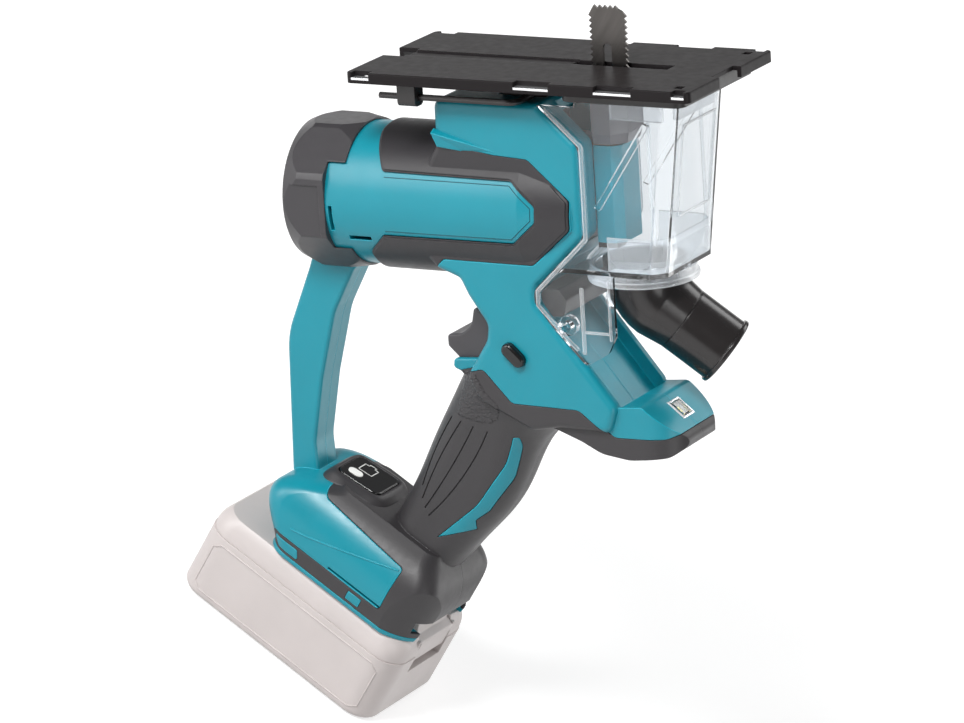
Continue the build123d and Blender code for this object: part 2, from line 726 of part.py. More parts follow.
def dust_box():
    inner = BOX_HALF - BOX_WALL
    box = slab(BOX_OUTLINE, BOX_HALF)
    box = chamfer(front_edges(box), BOX_BEVEL)
    top, toe, low = BOX_FRONT - BOX_WALL, BOX_TOE - BOX_WALL, FLOOR_Z + BOX_WALL
    hollow = slab([(-60, 10), (top, 10), (top, BOX_TOP), (toe, low), (-60, low)], inner)
    box -= chamfer(front_edges(hollow), BOX_BEVEL - 0.6)
    rim = slab(HEAD_OUTLINE, BOX_HALF + RIM_PROUD - RIM_WIDE, -RIM_WIDE)
    rim -= block(-200, 200, -inner, inner, -300, 50)
    box += rim & slab(BOX_OUTLINE, REACH)
    box -= slab([(-60, FLOOR_Z), (60, FLOOR_Z), (60, -160), (-60, -160)], inner)
    for side in (-1, 1):
        y0, y1 = sorted((side * (inner + 0.1), side * (inner - 2.5)))
        rib = slab(RIB_LINE, 60)
        box += rib & block(-60, 60, y0, y1, -100, 0)
        y0, y1 = sorted((side * BOX_HALF, side * (inner - 4)))
        box += rod_y(y0, y1, 4.6, *TAIL_BOSS)
        y0, y1 = sorted((side * (BOX_HALF + 5), side * (inner - 10)))
        box -= rod_y(y0, y1, 2.4, *TAIL_BOSS)
    box += rod_z(RING_Z, RING_Z + 2.4, RING_R, RING_X) + rod_z(RING_Z, FLOOR_Z + 1, RING_R - 1.5, RING_X)
    box -= rod_z(RING_Z - 1, FLOOR_Z + 5, ELBOW_R + 0.1, RING_X)
    return box - slab(HEAD_OUTLINE, 60, -GAP)


def box_catch():
    shape = [(-29.9, -99.6, 1), (-19, -99.6, 2), (-15.5, -104, 2), (-17, -112, 2), (-24.5, -112.5, 1)]
    return slab(shape, 24) - slab(HEAD_OUTLINE, 60)


BEND_R = 18.0
COLLAR_TOP = FLOOR_Z + 3.5


def nozzle_along(radius, pipe_radius, extra):
    turn = 90 - PIPE_FALL
    start = RING_Z - 0.3
    solid = rod_z(start, COLLAR_TOP + extra, radius, RING_X)
    ring = Pos(RING_X, 0, start) * Circle(radius)
    solid += revolve(ring, Axis((RING_X + BEND_R, 0, start), (0, -1, 0)), revolution_arc=turn)
    angle = math.radians(turn)
    x = RING_X + BEND_R * (1 - math.cos(angle))
    z = start - BEND_R * math.sin(angle)
    place = Pos(x, 0, z) * Rot(0, 90 + PIPE_FALL, 0)
    solid += place * Pos(0, 0, 6) * Cone(radius, pipe_radius, 12)
    solid += place * Pos(0, 0, 25 + extra) * Cylinder(pipe_radius, 26 + 2 * extra)
    return solid, place


def dust_nozzle():
    outer, place = nozzle_along(ELBOW_R, PIPE_R, 0)
    outer += rod_z(FLOOR_Z + BOX_WALL + 0.05, COLLAR_TOP, ELBOW_R + 1, RING_X)
    bead = place * Pos(0, 0, 36.9) * fillet(Cylinder(PIPE_R + 1, 2.4).edges(), 0.8)
    step = place * Pos(0, 0, 12.4) * (Cylinder(PIPE_R + 3, 0.5) - Cylinder(PIPE_R - 0.3, 2))
    bore, _ = nozzle_along(ELBOW_R - 2, PIPE_R - 1.8, 5)
    turned = Rot(0, 0, PIPE_TURN) * Pos(-RING_X, 0, 0) * (outer + bead - step - bore)
    return Pos(RING_X, 0, 0) * turned


# Controls, standing frame
TRIGGER_OUTLINE = [
    (-2, TRIGGER_TOP, 1.5), (1.5, 193, 8), (-1, 186.5, 6), (-6.5, 182, 1.8), (-3.5, 177.5, 2),
    (5, TRIGGER_LOW, 3), (TRIGGER_REAR, TRIGGER_LOW, 1), (TRIGGER_REAR, TRIGGER_TOP, 1),
]
SWITCH = (26, 51.5, 11, 170.5, 196)


def trigger():
    lever = slab(TRIGGER_OUTLINE, TRIGGER_HALF)
    lever = fillet(side_edges(lever).filter_by(lambda e: e.center().X < 4), 1.2)
    return lever + block(TRIGGER_REAR - 1, SWITCH[0] + 1.5, -3, 3, 181, 187)


def switch_body():
    x0, x1, half, z0, z1 = SWITCH
    body = block(x0, x1, -half, half, z0, z1)
    body = fillet(body.edges(), 1.0)
    body -= block(x0 - 1, x0 + 9, -3.2, 3.2, 180.8, 187.2)
    return body


def switch_ribs():
    x0, x1, half, z0, z1 = SWITCH
    reach = HEAD_HALF - WALL + 0.5
    ribs = block(x0 + 4, x0 + 7, -reach, reach, z0 - 5, z1 + 4)
    ribs += block(x1 - 7, x1 - 4, -reach, reach, z0 - 5, z1 + 4)
    return ribs - block(x0, x1, -half, half, z0, z1)


def lock_button():
    return pill(13.0, 6.4, -29.8, -17)


def check_pill(grow, z0, z1):
    flat = SlotOverall(7.5 + 2 * grow, 5 + 2 * grow)
    return panel_place() * Pos(-5, -5, z0) * extrude(flat, amount=z1 - z0)


def indicator_panel():
    panel = panel_plate(0, PANEL_HIGH)
    panel = fillet(panel.faces().sort_by(Axis.Z)[-1].edges(), 0.8)
    return panel - check_pill(0.08, 1.5, 30)


def check_button():
    return check_pill(0, 2.3, PANEL_HIGH + 0.4)


def lamp_lens():
    lens = Pos(0, 0, -1.6) * Box(2 * LAMP_R, 2 * LAMP_R, 4.8)
    return lamp_place() * fillet(lens.faces().sort_by(Axis.Z)[-1].edges(), 0.8)


def lamp_board():
    board = Pos(0, 0, -6) * Box(2 * LAMP_R, 2 * LAMP_R, 2)
    return lamp_place() * (board + Pos(0, 0, -4.6) * Box(3, 3, 1.2))


def terminal_block():
    body = block(-30, 20, -21, 21, RAIL_TOP + GAP + 0.1, 64)
    for y in (-14, 0, 14):
        body -= block(-20, -2, y - 0.6, y + 0.6, 50, 62)
    return body


def terminal_blades():
    return Compound(children=[block(-20, -2, y - 0.6, y + 0.6, 51.2, 62) for y in (-14, 0, 14)])


def control_board():
    board = block(-27, 20, -19, 19, 64, 65.6)
    board += rod_z(65.5, 74, 5, 8, 10) + block(-20, -6, -14, 6, 65.5, 70)
    return board


# Battery pack, standing frame
PACK_WALL = 2.0
PACK_TOP = RIM_Z
LATCH_HALF = 15.0


def pack_section(z, inset):
    return Pos(0, 0, z) * RectangleRounded(PACK_LENGTH - 2 * inset, 2 * (PACK_HALF - inset), 13 - 0.5 * inset)


def latch_space(grow):
    return block(48 - grow, 70, -LATCH_HALF - grow, LATCH_HALF + grow, 26 - grow, 80)


def battery_lower():
    case = extrude(pack_section(0, 0), amount=PACK_SEAM)
    case = fillet(case.faces().sort_by(Axis.Z)[0].edges(), 3.5)
    case -= extrude(pack_section(PACK_WALL, PACK_WALL), amount=PACK_SEAM)
    return case - latch_space(GAP) + pocket() & block(-100, 100, -100, 100, 0, PACK_SEAM)


def pocket():
    wall = block(46, PACK_LENGTH / 2 - 1, -LATCH_HALF - 2, LATCH_HALF + 2, 22, PACK_TOP - 2)
    return wall & extrude(pack_section(2, 0.5), amount=60) - latch_space(GAP)


def battery_upper():
    case = loft([pack_section(PACK_SEAM, 0.4), pack_section(PACK_SEAM + 4, 0.6), pack_section(PACK_TOP, 4)])
    case -= extrude(pack_section(PACK_SEAM - 1, PACK_WALL + 2), amount=PACK_TOP - PACK_SEAM - 1)
    case += block(RAIL_REAR, RAIL_FRONT, -NECK_HALF, NECK_HALF, PACK_TOP - 1, RAIL_TOP)
    case += block(RAIL_REAR, RAIL_FRONT, -RAIL_HALF, RAIL_HALF, RAIL_LOW, RAIL_TOP)
    case -= block(RAIL_REAR + 4, RAIL_FRONT - 4, -NECK_HALF + 3, NECK_HALF - 3, PACK_TOP - 2, RAIL_LOW)
    for y in (-14, 0, 14):
        case -= block(RAIL_REAR - 1, 0, y - 1.2, y + 1.2, RAIL_LOW - 1, RAIL_TOP + 1)
    case -= latch_space(GAP)
    return case + (pocket() & block(-100, 100, -100, 100, PACK_SEAM, 100))


def battery_cells():
    group = []
    for row in range(2):
        for i in range(5):
            x = -40 + 19 * i
            group.append(rod_y(-32.5, 32.5, 9.0, x, 11.2 + 18.4 * row))
    return Compound(children=group)


def battery_contacts():
    group = []
    for y in (-14, 0, 14):
        for side in (-1, 1):
            y0, y1 = sorted((y + side * 1.2, y + side * 2.0))
            group.append(block(-18, -6, y0, y1, RAIL_LOW - 5, RAIL_LOW))
    return Compound(children=group)


def battery_latch():
    shape = [(48.2, 30.5, 1), (48.2, 50, 1), (51, 50, 1), (52.5, 45, 1), (56.8, 43, 1.5), (56.8, 30.5, 1.5)]
    return slab(shape, LATCH_HALF - 0.05)


def export(name, solid):
    solid.label = name
    export_step(solid, f"parts/{name}.step")


OUTER = envelope(0) + STAND * guard()
RIND = OUTER - envelope(SKIN)
SHELL = housing(OUTER, RIND)
CUTS = openings()
BARREL_COVER = (RIND & barrel_region(0)) - CUTS
for rise, back in ((PROUD - 0.7, 0), (PROUD, 1.0)):
    layer = barrel(-rise) & slab(BARREL_SOFT, REACH, back)
    BARREL_COVER += STAND * (layer - barrel(0) - head(0))
GRIP_COVER = (RIND & grip_region(0)) - CUTS - grooves()
for side, word in ((-1, "left"), (1, "right")):
    export(f"housing_{word}", half_of(SHELL, side))
    export(f"barrel_cover_{word}", half_of(BARREL_COVER, side))
    export(f"grip_cover_{word}", half_of(GRIP_COVER, side))
export("housing_screws", screws())

TOOL_PARTS = [
    base_plate, edge_strips, base_frame, base_bolts, hex_key, key_clip, rear_cap, motor_can, magnets,
    armature, commutator, motor_fan, brush_plate, brushes, pinion, crank_gear, crank_shaft,
    crank_roller, gear_case, gear_cover, guide_bushes, plunger, clamp_plate, clamp_screw, blade,
    dust_box, box_catch, dust_nozzle,
]
for make in TOOL_PARTS:
    export(make.__name__, STAND * make())
BEARINGS = {
    "rear_bearing": (-140, -135, 8, SHAFT_R, BARREL_Z),
    "front_bearing": (-56.5, -51.5, 8, SHAFT_R, BARREL_Z),
    "crank_bearing_rear": (-56, -51.5, 5.5, 4, GEAR_Z),
    "crank_bearing_front": (-36.5, -30.5, 9.5, 4, GEAR_Z),
}
for name, spec in BEARINGS.items():
    export(name, STAND * bearing(*spec))

STANDING_PARTS = [
    trigger, switch_body, lock_button, indicator_panel, check_button, lamp_lens, lamp_board,
    terminal_block, terminal_blades, control_board, battery_lower, battery_upper, battery_cells,
    battery_contacts, battery_latch,
]
for make in STANDING_PARTS:
    export(make.__name__, make())
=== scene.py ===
import math
import random

import bmesh
import bpy
from mathutils import Matrix, Vector
from mathutils.bvhtree import BVHTree


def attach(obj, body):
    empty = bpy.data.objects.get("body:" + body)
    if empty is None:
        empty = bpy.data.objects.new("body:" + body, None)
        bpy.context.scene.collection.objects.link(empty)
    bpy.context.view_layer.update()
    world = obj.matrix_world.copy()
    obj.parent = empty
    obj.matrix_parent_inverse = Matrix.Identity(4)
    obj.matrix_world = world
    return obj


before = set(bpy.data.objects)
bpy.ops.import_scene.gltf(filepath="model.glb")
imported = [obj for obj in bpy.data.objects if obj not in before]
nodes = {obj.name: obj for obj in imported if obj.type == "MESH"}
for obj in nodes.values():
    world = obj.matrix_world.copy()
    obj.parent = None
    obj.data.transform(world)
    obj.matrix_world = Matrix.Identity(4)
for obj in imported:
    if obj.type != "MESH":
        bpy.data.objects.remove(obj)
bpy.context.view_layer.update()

# Housing halves: glass-filled nylon shells, injection moulded in teal with a fine spark texture.
# They meet at the middle plane and are closed by eight long screws from the right side.
CLOUD_SCALE, CLOUD_DETAIL = 45, 3
CLOUD_LOW, CLOUD_HIGH = 0.93, 1.07
SHEEN_SCALE, SHEEN_SPREAD = 260, 0.07
FLAT_LEAN, EDGE_LEAN = 0.995, 0.86


def srgb(red, green, blue):
    values = []
    for part in (red, green, blue):
        part /= 255
        values.append(part / 12.92 if part <= 0.04045 else ((part + 0.055) / 1.055) ** 2.4)
    return (*values, 1)


def link(tree, source, output, target, entry):
    tree.links.new(source.outputs[output], target.inputs[entry])


def new_finish(name, colour, roughness):
    finish = bpy.data.materials.new(name)
    finish.use_nodes = True
    shader = finish.node_tree.nodes["Principled BSDF"]
    shader.inputs["Base Color"].default_value = colour
    shader.inputs["Roughness"].default_value = roughness
    finish.diffuse_color = colour
    return finish, finish.node_tree, shader


def grain(tree, scale, detail=2.0, stretch=(1, 1, 1)):
    place = tree.nodes.new("ShaderNodeTexCoord")
    turn = tree.nodes.new("ShaderNodeMapping")
    turn.inputs["Scale"].default_value = stretch
    noise = tree.nodes.new("ShaderNodeTexNoise")
    noise.inputs["Scale"].default_value = scale
    noise.inputs["Detail"].default_value = detail
    link(tree, place, "Object", turn, "Vector")
    link(tree, turn, "Vector", noise, "Vector")
    return noise


def shade(colour, amount):
    return (*(min(1.0, c * amount) for c in colour[:3]), 1)


def mottle(tree, texture, colour, low, high):
    mix = tree.nodes.new("ShaderNodeMix")
    mix.data_type = "RGBA"
    mix.inputs["A"].default_value = shade(colour, low)
    mix.inputs["B"].default_value = shade(colour, high)
    link(tree, texture, "Fac", mix, "Factor")
    return mix.outputs["Result"]


def soften(tree, edge):
    rounding = tree.nodes.new("ShaderNodeBevel")
    rounding.samples = 6
    rounding.inputs["Radius"].default_value = edge
    return rounding


def rubbed_and_glinting_edges(tree, rounding, body, colour, amount):
    """Raised edges turn lighter, partly from handling wear and partly as a painted highlight: body colour
    goes to colour where the rounded normal leaves the face.
    """
    face = tree.nodes.new("ShaderNodeNewGeometry")
    lean = tree.nodes.new("ShaderNodeVectorMath")
    lean.operation = "DOT_PRODUCT"
    link(tree, rounding, "Normal", lean, 0)
    link(tree, face, "Normal", lean, 1)
    mask = tree.nodes.new("ShaderNodeMapRange")
    mask.inputs["From Min"].default_value = FLAT_LEAN
    mask.inputs["From Max"].default_value = EDGE_LEAN
    mask.inputs["To Max"].default_value = amount
    link(tree, lean, "Value", mask, "Value")
    mix = tree.nodes.new("ShaderNodeMix")
    mix.data_type = "RGBA"
    mix.inputs["B"].default_value = colour
    tree.links.new(body, mix.inputs["A"])
    link(tree, mask, "Result", mix, "Factor")
    return mix.outputs["Result"]


def gloss(tree, shader, texture, low, high):
    spread = tree.nodes.new("ShaderNodeMapRange")
    spread.inputs["To Min"].default_value = low
    spread.inputs["To Max"].default_value = high
    link(tree, texture, "Fac", spread, "Value")
    link(tree, spread, "Result", shader, "Roughness")


def relief(tree, shader, texture, depth, rounding):
    bump = tree.nodes.new("ShaderNodeBump")
    bump.inputs["Distance"].default_value = depth
    link(tree, texture, "Fac", bump, "Height")
    link(tree, rounding, "Normal", bump, "Normal")
    link(tree, bump, "Normal", shader, "Normal")


def moulded(name, colour, roughness, edge=0.0005, texture=2200, depth=0.00001, rub_and_glint=0.25, rub_and_glint_tone=1.5, shine=0.5):
    """Moulded or painted finish: rounded edges that turn lighter (part wear, part painted highlight), cloudy
    colour, uneven gloss and a fine raised texture.
    """
    finish, tree, shader = new_finish(name, colour, roughness)
    shader.inputs["Specular IOR Level"].default_value = shine
    rounding = soften(tree, edge)
    body = mottle(tree, grain(tree, CLOUD_SCALE, CLOUD_DETAIL), colour, CLOUD_LOW, CLOUD_HIGH)
    body = rubbed_and_glinting_edges(tree, rounding, body, shade(colour, rub_and_glint_tone), rub_and_glint)
    tree.links.new(body, shader.inputs["Base Color"])
    gloss(tree, shader, grain(tree, SHEEN_SCALE), roughness - SHEEN_SPREAD, roughness + SHEEN_SPREAD)
    relief(tree, shader, grain(tree, texture), depth, rounding)
    return finish


def wear(finish, *names):
    for name in names:
        slots = nodes[name].data.materials
        slots.clear()
        slots.append(finish)


TEAL = srgb(8, 134, 151)
# The teal's edges turn much paler: a painted highlight along the edges on top of slight handling wear.
teal_nylon = moulded("teal_nylon", TEAL, 0.34, edge=0.0008, rub_and_glint=0.6, rub_and_glint_tone=2.2)
wear(teal_nylon, "housing_left", "housing_right")

# Panel line: a fine groove, cut in the mould, that follows the border of the barrel's side panel, 2 mm
# inside it, on both halves. It is drawn as a thin dark teal bead on the face, whose dark colour is
# painted shade of the groove.
TOOL_TILT = math.radians(33.0)
TOOL_PLACE = (-0.0055, 0, 0.336)
PANEL_LINE = [(-103, -51.6), (-38.8, -51.6), (-27.8, -61), (-27.8, -66.5), (-37.9, -75.9), (-103, -76.4)]
LINE_STEP = 1.2
LINE_WIDTH = 0.00042
BEAD_SIDES = 6
SIDES = ((-1, "left"), (1, "right"))
BESIDE = 0.1
ACROSS = Vector((0, 1, 0))
# Barrel, head and box have their places in the tilted tool's own frame, and grip and foot as the saw stands.
tilted = Matrix.Translation(TOOL_PLACE) @ Matrix.Rotation(-TOOL_TILT, 4, "Y")
upright = Matrix.Identity(4)


def surface_of(*names):
    points, faces = [], []
    for name in names:
        start = len(points)
        mesh = nodes[name].data
        points += [v.co.copy() for v in mesh.vertices]
        faces += [[start + i for i in p.vertices] for p in mesh.polygons]
    return BVHTree.FromPolygons(points, faces)


def new_piece(name, mesh, finish, body):
    piece = bpy.data.objects.new(name, mesh)
    bpy.context.scene.collection.objects.link(piece)
    mesh.materials.append(finish)
    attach(piece, body)


def even_points(corners, step):
    spots = []
    for a, b in zip(corners, corners[1:]):
        a, b = Vector(a), Vector(b)
        count = max(1, round((b - a).length / step))
        spots += [a.lerp(b, i / count) for i in range(count)]
    return spots + [Vector(corners[-1])]


def from_side(skin, side, spot, place):
    """Where a skin is met, and its normal there, looking straight in from one side at spot (x, z) in mm."""
    start = place @ Vector((spot[0] / 1000, side * BESIDE, spot[1] / 1000))
    hit, normal, _, _ = skin.ray_cast(start, -side * ACROSS)
    return hit, normal


def solid_mesh(name, points, faces, cut_caps=False):
    """Closed mesh from points in metres, with its faces turned outward."""
    shape = bmesh.new()
    corners = [shape.verts.new(p) for p in points]
    for face in faces:
        shape.faces.new([corners[i] for i in face])
    bmesh.ops.recalc_face_normals(shape, faces=shape.faces)
    if cut_caps:
        bmesh.ops.triangulate(shape, faces=[f for f in shape.faces if len(f.verts) > 4])
    mesh = bpy.data.meshes.new(name)
    shape.to_mesh(mesh)
    shape.free()
    return mesh


def skin_faces(rows, sides, looped):
    """Faces over rows of points, each row a ring of sides. Looped rows meet again, others end in caps."""
    faces = []
    for row in range(rows if looped else rows - 1):
        low, high = sides * row, sides * ((row + 1) % rows)
        for k in range(sides):
            after = (k + 1) % sides
            faces.append((low + k, low + after, high + after, high + k))
    if not looped:
        faces += [tuple(range(sides)), tuple(range(sides * (rows - 1), sides * rows))]
    return faces


def bead_mesh(name, path, width, face):
    """Closed round bead along a path of points on a surface that faces along face."""
    points = []
    for i, spot in enumerate(path):
        along = (path[min(i + 1, len(path) - 1)] - path[max(i - 1, 0)]).normalized()
        across = along.cross(face).normalized()
        lift = across.cross(along)
        for k in range(BEAD_SIDES):
            angle = 2 * math.pi * k / BEAD_SIDES
            points.append(spot + (across * math.cos(angle) + lift * math.sin(angle)) * width / 2)
    return solid_mesh(name, points, skin_faces(len(path), BEAD_SIDES, looped=False))


def smooth(mesh):
    mesh.polygons.foreach_set("use_smooth", [True] * len(mesh.polygons))


def side_beads(name, skin, line, step, width, place, finish, body, rounded=False):
    """The same bead on the left and the right side of a skin, along a line of (x, z) corners in mm."""
    for side, word in SIDES:
        path = [from_side(skin, side, spot, place)[0] for spot in even_points(line, step)]
        mesh = bead_mesh(f"{name}_{word}", path, width, ACROSS)
        if rounded:
            smooth(mesh)
        new_piece(f"{name}_{word}", mesh, finish, body)


# Dark teal for the panel line: painted shade of the groove.
groove_shade_teal = moulded("groove_shade_teal", shade(TEAL, 0.32), 0.5)
shell_skin = surface_of("housing_left", "housing_right")
side_beads("panel_line", shell_skin, PANEL_LINE, LINE_STEP, LINE_WIDTH, tilted, groove_shade_teal, "housing")

# Foot creases: a fine raised fold across each side of the foot, above the slit. It is teal nylon,
# moulded with the shells, where the side's two flats meet.
CREASE = [(-20, 61.5), (-12, 63.2), (34, 76.6)]
CREASE_WIDTH = 0.0011
side_beads("foot_crease", shell_skin, CREASE, LINE_STEP, CREASE_WIDTH, upright, teal_nylon, "housing")

# Neck fairings: a teal fold on each side where the head's neck runs out over the barrel cover,
# moulded with the shells. The fold's ridge stands 3 mm proud and dies out towards the front.
FAIRING = [(-76.8, -27.5), (-44.5, -37.2), (-62, -37.6), (-74.6, -35.6)]
FAIRING_SKIN, FAIRING_PROUD, FAIRING_TAIL = 27.3, 30.6, 29.2
RIDGE_DROP = 1.6
FAIRING_FACES = [(0, 1, 2, 3), (0, 1, 4), (4, 1, 2, 5), (5, 2, 3), (0, 4, 5, 3)]

for side, word in SIDES:
    points = [(x, side * FAIRING_SKIN, z) for x, z in FAIRING]
    points.append((FAIRING[0][0], side * FAIRING_PROUD, FAIRING[0][1] - RIDGE_DROP))
    points.append((FAIRING[3][0], side * FAIRING_TAIL, FAIRING[3][1]))
    points = [tilted @ (Vector(p) / 1000) for p in points]
    mesh = solid_mesh(f"neck_fairing_{word}", points, FAIRING_FACES)
    new_piece(f"neck_fairing_{word}", mesh, teal_nylon, "housing")

# Housing screws: black zinc-plated tapping screws with socket heads, sunk in the right half. The
# base's bolts and the blade clamp's screw have the same plating.


def metal(name, colour, roughness, metallic, texture, depth, edge, stretch=(1, 1, 1)):
    """Bare or plated metal with rounded edges and fine tool marks, which stretch draws out along an axis."""
    finish, tree, shader = new_finish(name, colour, roughness)
    shader.inputs["Metallic"].default_value = metallic
    relief(tree, shader, grain(tree, texture, stretch=stretch), depth, soften(tree, edge))
    return finish


black_zinc = metal("black_zinc", srgb(58, 56, 55), 0.38, 0.9, texture=700, depth=0.00001, edge=0.0003)
wear(black_zinc, "housing_screws", "base_bolts", "clamp_screw")

# Soft covers: thermoplastic rubber moulded over the shells on barrel, nose, grip and foot, charcoal
# and matt, with a fine leathery grain that gives the hand its hold.
# Their edges turn lighter too, part handling wear and part painted highlight.
SOFT_GRAIN = {"edge": 0.0007, "texture": 1500, "depth": 0.00003, "rub_and_glint": 0.3}
charcoal_rubber = moulded("charcoal_rubber", srgb(49, 47, 49), 0.44, **SOFT_GRAIN)
wear(charcoal_rubber, "grip_cover_left", "grip_cover_right")
barrel_rubber = moulded("barrel_rubber", srgb(41, 39, 42), 0.44, **SOFT_GRAIN)
wear(barrel_rubber, "barrel_cover_left", "barrel_cover_right")

# Stippled thumb patches: one on each side at the top of the grip, where the mould is etched with
# coarse pips. They are part of the soft cover and stand a little proud of it.
PATCH_EDGE = [(8.6, 173.4), (18.6, 183.2), (27.4, 178.6), (36.6, 177), (37.2, 168), (35.6, 163),
              (28.4, 158.2), (17.4, 154), (12.9, 168)]
PATCH_STEP = 0.8
PATCH_FADE = 1.2
PATCH_RISE, PATCH_SINK = 0.00025, 0.00005
PIP_HEIGHT, PIP_LEAST = 0.0004, 0.1
PIP_SEED = 7


def inside(point, outline):
    x, z = point
    found = False
    for i, (x0, z0) in enumerate(outline):
        x1, z1 = outline[i - 1]
        if (z0 > z) != (z1 > z) and x < (x1 - x0) * (z - z0) / (z1 - z0) + x0:
            found = not found
    return found


def edge_distance(point, outline):
    spot = Vector(point)
    gaps = []
    for i, end in enumerate(outline):
        a, b = Vector(outline[i - 1]), Vector(end)
        share = max(0.0, min(1.0, (spot - a).dot(b - a) / (b - a).length_squared))
        gaps.append((a + (b - a) * share - spot).length)
    return min(gaps)


grip_skin = surface_of("grip_cover_left", "grip_cover_right")
low_x, low_z = (min(p[k] for p in PATCH_EDGE) for k in (0, 1))
high_x, high_z = (max(p[k] for p in PATCH_EDGE) for k in (0, 1))
for side, word in SIDES:
    pips = random.Random(PIP_SEED)
    cells = {}
    patch = bmesh.new()
    for i in range(int((high_x - low_x) / PATCH_STEP) + 1):
        for j in range(int((high_z - low_z) / PATCH_STEP) + 1):
            spot = (low_x + PATCH_STEP * (i + 0.5 * (j % 2)), low_z + PATCH_STEP * j)
            pip = pips.uniform(PIP_LEAST, 1.0) * PIP_HEIGHT
            hit, normal = from_side(grip_skin, side, spot, upright)
            if hit is None or not inside(spot, PATCH_EDGE):
                continue
            rise = min(1.0, edge_distance(spot, PATCH_EDGE) / PATCH_FADE)
            cells[i, j] = patch.verts.new(hit + normal * (rise * (PATCH_RISE + pip) - PATCH_SINK))
    for i, j in cells:
        ring = [cells.get(k) for k in ((i, j), (i + 1, j), (i + 1, j + 1), (i, j + 1))]
        if None not in ring:
            patch.faces.new(ring if side < 0 else ring[::-1])
    mesh = bpy.data.meshes.new(f"thumb_patch_{word}")
    patch.to_mesh(mesh)
    patch.free()
    new_piece(f"thumb_patch_{word}", mesh, charcoal_rubber, "housing")

# Rear barrel cover: charcoal nylon hood with flat side panels and five cooling slots, moulded in one
# piece and pressed over the barrel's rear end.
charcoal_nylon = moulded("charcoal_nylon", srgb(54, 52, 55), 0.36, edge=0.0008)
wear(charcoal_nylon, "rear_cap")

# Base: steel sheet pressed with a down-turned edge and painted satin black, on a black moulded
# frame. The edge windows show strips of bright steel, and a clip under the plate holds the hex key.
# The plate's edges turn lighter: a painted highlight along the edges on top of some wear.
black_paint = moulded("black_paint", srgb(30, 27, 28), 0.42, edge=0.0006, texture=1100, depth=0.000014,
                      rub_and_glint=0.8, shine=0.12)
wear(black_paint, "base_plate")
black_nylon = moulded("black_nylon", srgb(32, 30, 30), 0.4)
wear(black_nylon, "base_frame", "key_clip", "box_catch")
bright_steel = metal("bright_steel", srgb(235, 236, 238), 0.24, 0.85, texture=900, depth=0.000004,
                     edge=0.0002, stretch=(0.1, 1, 1))
wear(bright_steel, "edge_strips")
black_oxide = metal("black_oxide", srgb(62, 60, 60), 0.3, 0.8, texture=800, depth=0.000008,
                    edge=0.0003, stretch=(0.2, 1, 1))
wear(black_oxide, "hex_key")

# Blade and its clamp: hardened saw steel, blanked and ground, held to the plunger by a plate and
# one socket screw. Grinding runs across the blade.
ground_steel = metal("ground_steel", srgb(112, 109, 106), 0.3, 1.0, texture=1100, depth=0.000008,
                     edge=0.00015, stretch=(0.06, 1, 1))
tree = ground_steel.node_tree
streaks = grain(tree, 420, detail=4, stretch=(1, 1, 0.12))
streaks = mottle(tree, streaks, srgb(86, 83, 81), low=0.75, high=1.3)
tree.links.new(streaks, tree.nodes["Principled BSDF"].inputs["Base Color"])
wear(ground_steel, "blade", "clamp_plate", "plunger")

# Drive: die-cast gear case and cover, screwed together, with hardened gears and crank on ball
# bearings. The plunger runs in pressed-in bushes of sintered bronze.
die_cast = moulded("die_cast", srgb(150, 151, 153), 0.45, texture=600, depth=0.00004)
wear(die_cast, "gear_case", "gear_cover")
hard_steel = metal("hard_steel", srgb(165, 164, 162), 0.25, 1.0, texture=1000, depth=0.000004, edge=0.0002)
wear(hard_steel, "crank_gear", "crank_shaft", "crank_roller", "pinion", "rear_bearing", "front_bearing",
     "crank_bearing_rear", "crank_bearing_front")
bronze = metal("sintered_bronze", srgb(176, 128, 72), 0.4, 1.0, texture=1600, depth=0.00001, edge=0.0002)
wear(bronze, "guide_bushes")

# Dust box: clear polycarbonate moulding that clips over the front of the head, so that the cut and
# the dust can be seen. Its walls show moulding flow as a faint wave.
CLEAR = (0.8, 0.822, 0.84, 1)


def clear_moulding(name, colour, roughness, waves, depth, edge):
    """Clear plastic that bends light, with moulding waves. Lamp light goes straight through it, so that
    what stands behind it is lit."""
    finish, tree, shader = new_finish(name, colour, roughness)
    shader.inputs["Transmission Weight"].default_value = 1.0
    relief(tree, shader, grain(tree, waves, detail=1), depth, soften(tree, edge))
    ray = tree.nodes.new("ShaderNodeLightPath")
    straight = tree.nodes.new("ShaderNodeBsdfTransparent")
    straight.inputs["Color"].default_value = CLEAR
    choice = tree.nodes.new("ShaderNodeMixShader")
    link(tree, ray, "Is Shadow Ray", choice, "Fac")
    link(tree, shader, "BSDF", choice, 1)
    link(tree, straight, "BSDF", choice, 2)
    link(tree, choice, "Shader", tree.nodes["Material Output"], "Surface")
    return finish


clear_plastic = clear_moulding("clear_polycarbonate", CLEAR, 0.02, waves=55, depth=0.00005, edge=0.0004)
clear_plastic.node_tree.nodes["Principled BSDF"].inputs["IOR"].default_value = 1.45
wear(clear_plastic, "dust_box")

# Guide cover: teal moulding screwed to the head's front, a three-sided box that keeps dust off the
# plunger guides. Its top is open for the blade holder.
COVER_PLAN = [(-4, -11.7), (4.6, -11.7), (8.3, -8), (8.3, 8), (4.6, 11.7), (-4, 11.7)]
COVER_WALL = 1.2
COVER_LEVELS = [(-79.5, 1.0), (-34.8, 1.0)]


